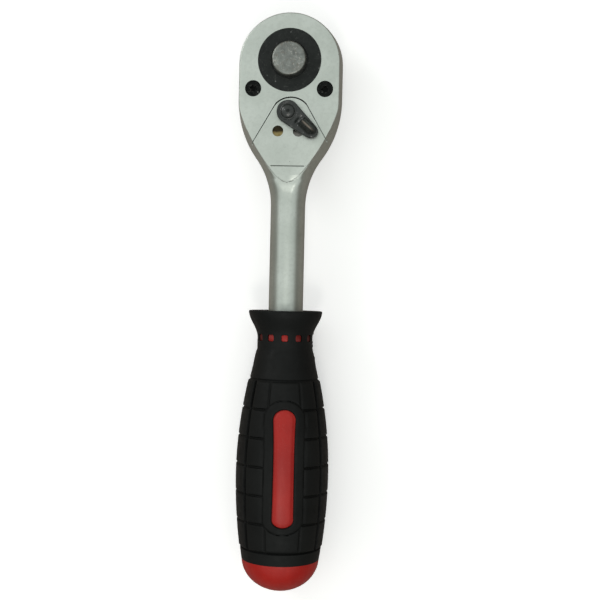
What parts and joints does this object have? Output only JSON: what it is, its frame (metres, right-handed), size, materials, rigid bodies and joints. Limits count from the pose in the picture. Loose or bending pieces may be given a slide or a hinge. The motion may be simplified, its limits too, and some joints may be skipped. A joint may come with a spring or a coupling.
{
  "type": "ratchet wrench",
  "caption": "Pear-head reversible ratchet wrench with a quick-release square drive, side-swinging reversing lever, steel neck and a rubber-and-plastic two-colour grip.",
  "frame": {"origin": "on the drive axis, in the shoulder plane where a socket's mouth seats", "axes": "+Z along the drive axis towards the cover, lever and push button; the handle runs along -Y; +X completes the right-handed frame, and the square drive's ball faces it at rest"},
  "size_m": [0.045, 0.2502, 0.0443],
  "materials": {
    "satin_chrome": "satin, lightly blasted",
    "black_oxide": "black oxide with worn edges",
    "plain_steel": "bright, scratched",
    "hard_steel": "hardened, oiled",
    "spring_steel": "drawn wire",
    "brass": "zinc-plated yellow",
    "seal_rubber": "matte",
    "red_plastic": "semi-gloss",
    "black_rubber": "fine matte"
  },
  "bodies": {
    "head": {"head_body": "satin_chrome", "gear_cover": "satin_chrome", "lever_plate": "satin_chrome", "cover_screws": "black_oxide", "drag_ring": "plain_steel", "left_pawl_pin": "brass", "right_pawl_pin": "plain_steel", "left_pawl_spring": "spring_steel", "right_pawl_spring": "spring_steel", "lever_seal": "seal_rubber", "handle_core": "red_plastic", "rubber_grip": "black_rubber"},
    "drive": {"drive_gear": "black_oxide", "button_ring": "black_oxide", "release_spring": "spring_steel"},
    "button": {"release_button": "plain_steel"},
    "ball": {"detent_ball": "plain_steel"},
    "left_pawl_body": {"left_pawl": "hard_steel"},
    "right_pawl_body": {"right_pawl": "hard_steel"},
    "lever": {"reversing_lever": "black_oxide", "lever_shaft": "black_oxide"}
  },
  "joints": [
    {"name": "drive_spin", "type": "hinge", "parent": "head", "child": "drive", "pos_m": [0, 0, 0], "axis": [0, 0, 1], "continuous": true},
    {"name": "button_press", "type": "slide", "parent": "drive", "child": "button", "axis": [0, 0, -1], "range_m": [0, 0.003], "stiffness_N_per_m": 1500, "springref_m": -0.002, "deforming": ["release_spring"]},
    {"name": "ball_retract", "type": "slide", "parent": "drive", "child": "ball", "axis": [-1, 0, 0], "range_m": [0, 0.0009]},
    {"name": "lever_swing", "type": "hinge", "parent": "head", "child": "lever", "pos_m": [0, -0.0224, 0], "axis": [0, 0, 1], "range_deg": [-100, 0]},
    {"name": "left_pawl_rock", "type": "hinge", "parent": "head", "child": "left_pawl_body", "pos_m": [-0.0044, -0.0304, 0], "axis": [0, 0, 1], "range_deg": [-10, 0], "deforming": ["left_pawl_spring"]},
    {"name": "right_pawl_rock", "type": "hinge", "parent": "head", "child": "right_pawl_body", "pos_m": [0.0044, -0.0304, 0], "axis": [0, 0, 1], "range_deg": [-10, 0], "deforming": ["right_pawl_spring"]}
  ],
  "couplings": [
    {"joint": "ball_retract", "follows": "button_press", "ratio": 0.3},
    {"joint": "left_pawl_rock", "follows": "lever_swing", "ratio": 0.1},
    {"joint": "right_pawl_rock", "follows": "lever_swing", "ratio": 0.1}
  ]
}
